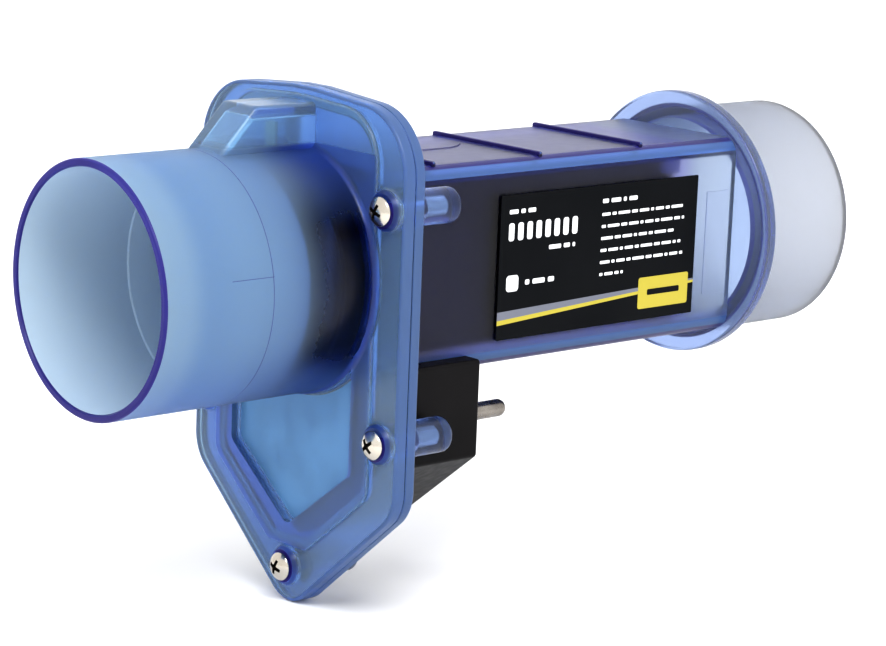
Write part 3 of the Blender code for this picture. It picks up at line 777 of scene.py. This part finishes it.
def rear_bosses():
    """Round-nosed bosses behind the flange, flared where they meet it."""
    nose = 0.0022
    radius = 0.0047
    side = [(FLANGE_FRONT + 0.001, radius + 0.0012), (FLANGE_BACK, radius + 0.0012)]
    side += arc(FLANGE_BACK + 0.0012, radius + 0.0012, 0.0012, 180, 270)[1:]
    side += arc(BOSS_BACK - nose, radius - nose, nose, 90, 8, 7)
    return at_screws("rear_boss", side, 48)


def chamber_inside():
    """The chamber's section inside its walls."""
    return rectangle(CHAMBER_HALF - WALL, CHAMBER_BOTTOM + WALL, CHAMBER_TOP - WALL, 0.0025)


def on_chamber_corner(point, normal, low, high):
    """True on the rounding between a side and the top or bottom, where the normal's
    height is between low and high."""
    return (FLANGE_BACK + 0.002 < point.x < DISC_FRONT and abs(normal.x) < 0.1
            and abs(point.y) > CHAMBER_HALF - CHAMBER_CORNER and abs(point.y) < CHAMBER_HALF + 0.0005
            and low < normal.z < high and abs(normal.y) > 0.05
            and (point.z > CHAMBER_TOP - CHAMBER_CORNER or point.z < CHAMBER_BOTTOM + CHAMBER_CORNER))


def on_rear_boss(point, low, high):
    """True behind the flange where the distance to a screw's axis is between low and high."""
    return FLANGE_BACK + 0.0008 < point.x < BOSS_BACK + 0.0003 and any(
        low < off_axis(point, y, z) < high for y, z in SCREW_PLACES)


def make_housing():
    """Flange, chamber with its ribs, rear bosses, and cup with the pins' sleeves."""
    housing = slab("chamber_housing_moulding", PLATE_OUTLINE, FLANGE_FRONT, FLANGE_BACK, 0.0003, 0.0009)
    chamber_end = DISC_FRONT - GAP
    section = rectangle(CHAMBER_HALF, CHAMBER_BOTTOM, CHAMBER_TOP, CHAMBER_CORNER)
    flare = 0.0014
    rows = [(FLANGE_FRONT + 0.001, -flare), (FLANGE_BACK, -flare)]
    rows += [(FLANGE_BACK + flare - flare * cos(t), -flare * (1 - sin(t)))
             for t in (pi / 10, pi / 5, 3 * pi / 10, 2 * pi / 5, pi / 2)]
    rows += [(chamber_end, 0.0)]
    chamber = loft("chamber", [[(x, p.x, p.y) for p in inset(section, away)] for x, away in rows])
    cup = slab("cup", CUP_OUTSIDE, FLANGE_FRONT + 0.0012, CUP_BACK, 0.0, 0.001)
    sleeves = at_pins("sleeve", [(CUP_BACK - 0.001, 0.0062), (0.0917, 0.0062), (0.092, 0.0059)], 40)
    witness = loft("witness_line", [
        [(x, y - 0.0003, CHAMBER_TOP - 0.001), (x, y + 0.0003, CHAMBER_TOP - 0.001),
         (x, y + 0.00015, CHAMBER_TOP + 0.00025), (x, y - 0.00015, CHAMBER_TOP + 0.00025)]
        for x, y in ((FLANGE_BACK + 0.001, 0.0), (0.117, 0.0), (0.121, 0.0015), (0.1245, 0.0042))])
    pad_at = [Vector(p) for p in ((0.1920, -0.016), (0.2005, -0.016), (0.2005, 0.013), (0.1920, 0.013))]
    pad = loft("pad", [[(p.x, -CHAMBER_HALF - up, p.y) for p in inset(pad_at, away)]
                       for up, away in ((-0.0008, 0.0), (0.0001, 0.0), (0.0002, 0.0001))])
    ribs = []
    for i, station in enumerate(RIB_STATIONS):
        outline = rounded([(-0.0215, -0.001, 0.0), (0.0215, -0.001, 0.0), (0.0215, 0.001, 0.0007),
                           (-0.0215, 0.001, 0.0007)])
        raised = [p + Vector((0, CHAMBER_TOP)) for p in outline]
        ribs.append(slab(f"rib_{i}", raised, station - 0.0006, station + 0.0006, 0.0003, 0.0003))
    space = slab("chamber_space", chamber_inside(), FLANGE_FRONT - 0.002, DISC_FRONT + 0.002)
    cup_space = slab("cup_space", CUP_INSIDE, FLANGE_FRONT - 0.0015, CUP_BACK - 0.0024, 0.0, 0.001)
    ways = at_pins("way", [(CUP_BACK - 0.006, 0.0027), (0.094, 0.0027)])
    seats = at_pins("seat", [(CUP_BACK - 0.005, 0.0049), (0.0877, 0.0049)], 40)
    blind_end = BOSS_BACK - 0.0042
    screw_ways = at_screws("screw_way", [
        (FLANGE_FRONT - 0.003, SCREW_HOLE_R), (FLANGE_BACK + 0.0036, SCREW_HOLE_R),
        (FLANGE_BACK + 0.0042, 0.0016), (blind_end, 0.0015), (blind_end + 0.0008, 0.0006)])
    carve(housing, [chamber, cup, witness, pad, *sleeves, *ribs, *rear_bosses()],
          [space, cup_space, *ways, *seats, *screw_ways])
    finish_mesh(housing)
    place(housing, "housing", HOUSING_PLASTIC, ["chamber_housing"])
    # painted shade: darker, bluer band round the flange's outer edge
    add_finish(housing, PLATE_EDGE_PAINTED_SHADE, lambda centre, normal: on_plate_rim(centre))
    # painted shade: dark rib tops, witness line and flange screw holes
    add_finish(housing, HOUSING_EDGE_PAINTED_SHADE, lambda centre, normal: (
        centre.z > CHAMBER_TOP + 0.0002 and centre.x > 0.09
        and abs(centre.y) < CHAMBER_HALF or in_screw_hole(centre) and centre.x < FLANGE_BACK))
    add_finish(housing, BOSS_PLASTIC, lambda centre, normal: on_rear_boss(centre, 0.0024, 0.0052))
    # painted light: pale, milky screw bores in the rear bosses
    add_finish(housing, BOSS_CORE_PAINTED_LIGHT, lambda centre, normal: on_rear_boss(centre, 0.0, 0.0024))
    # painted shade: corner roundings that face nearly straight up or down
    add_finish(housing, CORNER_PAINTED_SHADE, lambda centre, normal: (
        on_chamber_corner(centre, normal, 0.80, 0.985) or on_chamber_corner(centre, normal, -0.99, -0.6)))
    # painted highlight: a bluer band where the corner roundings slope to the side
    add_finish(housing, CORNER_PAINTED_HIGHLIGHT, lambda centre, normal: (
        on_chamber_corner(centre, normal, 0.30, 0.80) or on_chamber_corner(centre, normal, -0.6, -0.1)))


def make_outlet():
    """Outlet socket with the disc that closes the chamber."""
    fillet = 0.0014
    edge = 0.0009
    stop = LENGTH - SOCKET_DEPTH
    rim = 0.0007
    side = (arc(DISC_FRONT + edge, DISC_R - edge, edge, 180, 90)
            + arc(DISC_BACK - edge, DISC_R - edge, edge, 90, 0)
            + arc(DISC_BACK + fillet, PIPE_R + fillet, fillet, 180, 270)
            + arc(LENGTH - rim, PIPE_R - rim, rim, 90, 0))
    outlet = lathe("outlet_socket_moulding", side)
    bore = lathe("outlet_bore", [(DISC_FRONT + DISC_WEB, OUTLET_BORE_R), (stop, OUTLET_BORE_R),
                                 (stop + 0.0006, SOCKET_R - 0.0001), (LENGTH - 0.0006, SOCKET_R + 0.0002),
                                 (LENGTH, SOCKET_R + 0.0006), (LENGTH + 0.002, SOCKET_R + 0.0022)])
    mouth = slab("disc_mouth", chamber_inside(), DISC_FRONT - 0.002, DISC_FRONT + DISC_WEB + 0.0006)
    limit = lathe("mouth_limit", [(DISC_FRONT - 0.003, OUTLET_BORE_R - 0.0001),
                                  (DISC_BACK, OUTLET_BORE_R - 0.0001)])
    combine(mouth, [limit], "INTERSECT")
    bake(mouth, limit)
    carve(outlet, removed=[bore, mouth])
    finish_mesh(outlet)
    place(outlet, "housing", OUTLET_PLASTIC, ["outlet_socket"])
    # painted shade: dark end rim
    add_finish(outlet, OUTLET_EDGE_PAINTED_SHADE, lambda centre, normal: centre.x > LENGTH - rim)
    add_finish(outlet, DISC_PLASTIC, lambda centre, normal: centre.x < DISC_BACK + fillet)
    # painted shade: dark violet in the outlet's bore and the fillet behind the disc
    add_finish(outlet, DISC_ROOT_PAINTED_SHADE, lambda centre, normal: (
        DISC_FRONT + DISC_WEB - 0.0001 < centre.x < stop + 0.0001
        and abs(off_axis(centre) - OUTLET_BORE_R) < 0.0002
        or DISC_BACK < centre.x < DISC_BACK + fillet
        and PIPE_R < off_axis(centre) < PIPE_R + fillet))


# ---------------------------------------------------------------- screws

def cross_outline(reach, arm, y, z, turned_by):
    """A plus shape round y, z, turned by an angle."""
    quarter = [(reach, -arm), (reach, arm), (arm, arm)]
    return [Matrix.Rotation(turned_by + k * pi / 2, 2) @ Vector(p) + Vector((y, z))
            for k in range(4) for p in quarter]


def make_screw(node, turned_by):
    """Pan-head screw with a cross recess and a ribbed shank."""
    low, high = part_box(node)
    y, z = middle(node).y, middle(node).z
    head_r = (high.z - low.z) / 2 - 0.0002
    head_back = low.x + 0.0023
    crown = 0.0017
    shank_r, core_r = 0.0019, 0.0015
    dome = (head_r * head_r + crown * crown) / (2 * crown)
    reach = asin(head_r / dome)
    side = [(low.x + dome - dome * cos(reach * t), dome * sin(reach * t))
            for t in (0.08, 0.2, 0.35, 0.5, 0.65, 0.8, 0.9, 0.97)]
    side += [(low.x + crown + 0.0001, head_r), (head_back - 0.0002, head_r),
             (head_back, head_r - 0.0002), (head_back, core_r)]
    pitch = 0.0008
    for k in range(int((high.x - 0.0035 - head_back) / pitch)):
        x = head_back + 0.0003 + k * pitch
        side += [(x, core_r), (x + pitch * 0.4, shank_r), (x + pitch * 0.5, shank_r),
                 (x + pitch * 0.9, core_r)]
    side += [(high.x - 0.0030, 0.0012), (high.x - 0.0004, 0.0009), (high.x, 0.0004)]
    screw = lathe(node + "_pan_head", side, y, z, 48)
    cross = cross_outline(0.0021, 0.00050, y, z, turned_by)
    rows = [(low.x - 0.001, -0.0002), (low.x, 0.0), (low.x + 0.0014, 0.0002)]
    recess = loft("recess", [[(x, p.x, p.y) for p in inset(cross, away)] for x, away in rows])
    centre = lathe("recess_centre", [(low.x - 0.001, 0.0010), (low.x + 0.0016, 0.0005)], y, z, 24)
    carve(screw, removed=[recess, centre])
    finish_mesh(screw)
    place(screw, "screw_" + node.removeprefix("cover_screw_"), STAINLESS, [node])
    cap = low.x + crown
    # painted shade: near-black walls of the cross recess
    add_finish(screw, SCREW_RECESS_PAINTED_SHADE, lambda centre, normal: (
        centre.x < cap and normal.x > -0.75 and off_axis(centre, y, z) < 0.0023))


# ---------------------------------------------------------------- terminals

def make_terminal_block():
    """Shell behind the flange, with a saddle that the chamber sits in."""
    wall = 0.0026
    saddle_low = CHAMBER_BOTTOM - GAP
    corners = symmetric([(0.0, -0.0725, 0.0030), (BLOCK_HIGH.y, -0.0493, 0.0015),
                         (BLOCK_HIGH.y, BLOCK_HIGH.z, 0.0010)])
    inner = symmetric([(0.0, -0.0692, 0.0015), (BLOCK_HIGH.y - wall, -0.0481, 0.0008),
                       (BLOCK_HIGH.y - wall, saddle_low - wall, 0.0008)])
    block = slab("terminal_block_shell", rounded(corners), BLOCK_LOW.x, BLOCK_HIGH.x, 0.0003, 0.0009)
    space = slab("block_space", rounded(inner), BLOCK_LOW.x - 0.001, BLOCK_HIGH.x - wall)
    saddle = slab("block_saddle", rectangle(CHAMBER_HALF + GAP, saddle_low, CHAMBER_TOP,
                                            CHAMBER_CORNER + GAP),
                  BLOCK_LOW.x - 0.002, BLOCK_HIGH.x + 0.002)
    notch = box("block_notch", (BLOCK_LOW.x - 0.001, -0.0266, saddle_low - 0.004),
                (CUP_BACK + GAP, 0.0266, BLOCK_HIGH.z + 0.004))
    exits = at_pins("exit", [(BLOCK_HIGH.x - 0.006, 0.0030), (BLOCK_HIGH.x - 0.0004, 0.0030),
                             (BLOCK_HIGH.x + 0.0006, 0.0040)])
    carve(block, removed=[space, saddle, notch, *exits])
    finish_mesh(block)
    return place(block, "housing", BLACK_PLASTIC, ["terminal_block"])


def make_pin(node):
    """Round-ended pin with a collar at its inner end."""
    low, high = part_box(node)
    y = middle(node).y
    radius, collar_r = 0.0024, 0.0040
    edge = 0.0002
    collar = low.x + 0.0024
    side = [(low.x, collar_r - edge), (low.x + edge, collar_r), (collar - edge, collar_r),
            (collar, collar_r - edge), (collar, radius)]
    side += arc(high.x - radius, 0.0, radius, 90, 4, 10)
    pin = lathe(node + "_turned", side, y, PIN_Z, 40)
    finish_mesh(pin)
    return place(pin, "cassette", PIN_STEEL, [node])


def make_ring(node):
    """O-ring round a pin."""
    low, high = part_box(node)
    thick = (high.x - low.x) / 2
    y = middle(node).y
    wide = (high.y - low.y) / 2 - thick
    verts = []
    faces = []
    around, across = 48, 16
    for i in range(around):
        for j in range(across):
            t, s = 2 * pi * i / around, 2 * pi * j / across
            r = wide + thick * cos(s)
            verts.append((low.x + thick + thick * sin(s), y + r * cos(t), PIN_Z + r * sin(t)))
            a, b = (i + 1) % around, (j + 1) % across
            faces.append((i * across + j, a * across + j, a * across + b, i * across + b))
    ring = mesh_piece(node + "_ring", verts, faces)
    ring.data.shade_smooth()
    return place(ring, "cassette", RUBBER, [node])


# ---------------------------------------------------------------- cassette

def make_head():
    """Round frame in the mouth of the chamber, with a neck and collar into it."""
    opening = rectangle(0.0172, -0.0190, 0.0186, 0.0050)
    lip_back = COVER_BACK - 0.0028
    frame_front = COVER_BACK + 0.0004
    head_r = 0.0272
    head = slab("cassette_head_frame", circle(head_r), HEAD_LOW.x, lip_back, 0.0004, 0.0004)
    neck = slab("neck", rectangle(0.0190, -0.0205, 0.0201, 0.0060),
                lip_back - 0.0006, frame_front + 0.0004)
    collar = slab("collar", rectangle(0.0213, -0.0246, 0.0242, 0.0025),
                  frame_front, HEAD_HIGH.x, 0.0003, 0.0003)
    cone = lathe("cone", [(HEAD_LOW.x - 0.001, 0.0262), (HEAD_LOW.x + 0.0003, 0.0254),
                          (HEAD_LOW.x + 0.0050, 0.0248), (HEAD_LOW.x + 0.0058, 0.0240)])
    hole = slab("hole", opening, HEAD_LOW.x + 0.003, HEAD_HIGH.x + 0.001)
    carve(head, [neck, collar], [cone, hole])
    finish_mesh(head)
    return place(head, "cassette", BLACK_PLASTIC, ["cassette_head"])


def make_plate(node):
    """Electrode plate with softened edges."""
    low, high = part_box(node)
    plate = box(node + "_sheet", low, high)
    soften(plate, 0.00025, 2)
    bake(plate)
    finish_mesh(plate)
    return place(plate, "cassette", COATED_PLATE, [node])


def finish_cad(node, finish, edge=0.0002):
    """A CAD piece whose shape is right keeps its mesh, with soft edges and a new finish."""
    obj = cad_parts[node]
    obj.data.materials.clear()
    obj.data.materials.append(finish)
    soften(obj, edge, 2)


# ---------------------------------------------------------------- label

def layer(name, outline, back, front):
    """A thin layer on the chamber's side between two places in Y; outline is (x, z) points."""
    return loft(name, [[(p.x, y, p.y) for p in outline] for y in (back, front)])


def printed(name, outline, proud):
    """A thin printed shape on the label's face."""
    return layer(name, outline, LABEL_LOW.y + 0.00002, LABEL_LOW.y - proud)


def bar(left, bottom, width, height, corner):
    """A rectangle in X, Z from its lower left corner, with round corners."""
    right, top = left + width, bottom + height
    return rounded([(left, bottom, corner), (right, bottom, corner), (right, top, corner),
                    (left, top, corner)], radians(18))


def join_pieces(name, parts):
    """One object from several."""
    work = bmesh.new()
    for part in parts:
        work.from_mesh(part.data)
        remove(part)
    mesh = bpy.data.meshes.new(name)
    work.to_mesh(mesh)
    work.free()
    return new_object(name, mesh)


def word_bars(left, bottom, length, height, first_word=0):
    """A line of print as bars of different lengths, like words too small to read."""
    words = (0.0032, 0.0016, 0.0045, 0.0023, 0.0037, 0.0012)
    gap = height * 0.8
    bars = []
    x, k = left, first_word
    while x < left + length - gap:
        width = min(words[k % len(words)], left + length - x)
        bars.append(bar(x, bottom, width, height, height * 0.3))
        x += width + gap
        k += 1
    return bars


def make_film():
    """The label's black film."""
    outline = bar(LABEL_LOW.x, LABEL_LOW.z, LABEL_HIGH.x - LABEL_LOW.x, LABEL_HIGH.z - LABEL_LOW.z, 0.0004)
    film = layer("label_black_film", outline, LABEL_HIGH.y, LABEL_LOW.y)
    return place(film, "housing", LABEL_BLACK, ["label"])


def white_print(left, bottom):
    """A title of upright bars, a tick box and lines of small print."""
    title_x, notice_x = left + 0.0030, left + 0.0372
    small, fine = 0.0012, 0.00085
    title_bar, title_pitch, line_pitch = 0.0020, 0.0033, 0.0033
    shapes = [bar(title_x + k * title_pitch, bottom + 0.0264, title_bar, 0.0048, 0.0007)
              for k in range(8)]
    shapes += word_bars(title_x, bottom + 0.0336, 0.0095, small)
    shapes += word_bars(left + 0.0178, bottom + 0.0230, 0.0097, small, 2)
    shapes += [bar(left + 0.0028, bottom + 0.0128, 0.0044, 0.0044, 0.0010)]
    shapes += word_bars(left + 0.0096, bottom + 0.0142, 0.0110, 0.0014, 1)
    shapes += word_bars(notice_x, bottom + 0.0338, 0.0140, small, 3)
    for i, length in enumerate((0.0325, 0.0320, 0.0290, 0.0310, 0.0320, 0.0090)):
        shapes += word_bars(notice_x, bottom + 0.0303 - i * line_pitch, length, fine, i)
    return shapes


def make_label():
    """Black film with an unlettered print, each colour a thin layer of its own."""
    film = make_film()
    left, right, bottom = LABEL_LOW.x, LABEL_HIGH.x, LABEL_LOW.z
    print_up = 0.00004
    white = [printed(f"white_{i}", shape, print_up)
             for i, shape in enumerate(white_print(left, bottom))]
    place(join_pieces("label_white_print", white), "housing", PRINT_WHITE)
    low_left, low_right = bottom + 0.0040, bottom + 0.0086
    mid_left, mid_right = low_left + 0.0013, low_right + 0.0007
    yellow_line = [Vector(p) for p in (
        (left, low_left), (right, low_right), (right, mid_right), (left, mid_left))]
    grey_line = [Vector(p) for p in (
        (left, mid_left), (right, mid_right), (right, low_right + 0.0012), (left, low_left + 0.0036))]
    badge = bar(left + 0.0525, bottom + 0.0030, 0.0195, 0.0088, 0.0007)
    badge_bar = bar(left + 0.0560, bottom + 0.0067, 0.0125, 0.0016, 0.0004)
    yellow = [printed("yellow_line", yellow_line, print_up), printed("badge", badge, print_up * 2)]
    place(join_pieces("label_yellow_print", yellow), "housing", PRINT_YELLOW)
    place(printed("label_grey_print", grey_line, print_up), "housing", PRINT_GREY)
    place(printed("label_badge_print", badge_bar, print_up * 3), "housing", LABEL_BLACK)
    return film


# ---------------------------------------------------------------- stage

def make_stage():
    """Pale floor, white surroundings and one large soft light."""
    floor_z = min(COVER_LOW.z, HOUSING_LOW.z) - 0.0002
    floor = mesh_piece("floor", [(-4, -4, floor_z), (4, -4, floor_z), (4, 4, floor_z), (-4, 4, floor_z)],
                       [(0, 1, 2, 3)])
    made, _, shader = new_material("pale_floor")
    shader.inputs["Base Color"].default_value = (0.93, 0.93, 0.93, 1)
    shader.inputs["Roughness"].default_value = 0.9
    floor.data.materials.append(made)

    world = bpy.data.worlds.new("studio")
    world.use_nodes = True
    back = world.node_tree.nodes["Background"]
    back.inputs["Color"].default_value = (1, 1, 1, 1)
    back.inputs["Strength"].default_value = 1.0
    bpy.context.scene.world = world
    bpy.context.scene.view_settings.view_transform = "Standard"
    bpy.context.scene.view_settings.look = "High Contrast"

    key = bpy.data.lights.new("key_softbox", "AREA")
    key.shape = "RECTANGLE"
    key.size, key.size_y = 0.5, 0.35
    key.energy = 5.0
    lamp = new_object("key_softbox", key)
    lamp.location = (-0.25, -0.55, 0.75)
    aim = Vector((0.10, 0, 0)) - lamp.location
    lamp.rotation_euler = aim.to_track_quat("-Z", "Y").to_euler()


CAMERA_PLACE = Vector((-0.40982, -0.58557, 0.14322))


def make_camera():
    """The main view: from the inlet's side, a little above the pipe."""
    azimuth, elevation, roll = radians(-41.98), radians(11.75), radians(2.28)
    back = Vector((sin(azimuth) * cos(elevation), -cos(azimuth) * cos(elevation), sin(elevation)))
    right = Vector((0, 0, 1)).cross(back).normalized()
    up = back.cross(right)
    right, up = right * cos(roll) + up * sin(roll), up * cos(roll) - right * sin(roll)
    turn = Matrix((right, up, back)).transposed().to_4x4()
    data = bpy.data.cameras.new("camera")
    data.sensor_width = 36
    data.lens = 120.9
    data.clip_start = 0.01
    camera = new_object("camera", data)
    camera.matrix_world = Matrix.Translation(CAMERA_PLACE) @ turn
    bpy.context.scene.camera = camera


# ---------------------------------------------------------------- assembly

make_camera()
make_stage()
make_cover()
make_seal()
make_housing()
make_outlet()
for index, name in enumerate(SCREW_NODES):
    make_screw(name, radians(20 + 31 * index))
make_terminal_block()
for name in ("power_pin_left", "power_pin_right", "sensor_pin"):
    make_pin(name)
for name in ("pin_seal_left", "pin_seal_middle", "pin_seal_right"):
    make_ring(name)
make_head()
for name in sorted(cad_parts):
    if name.startswith("electrode_plate_"):
        make_plate(name)
    if name.startswith("comb_"):
        finish_cad(name, NATURAL_PLASTIC)
    if name.startswith("bus_strap_") or name == "sensor_strip":
        finish_cad(name, TITANIUM, 0.00015)
make_label()
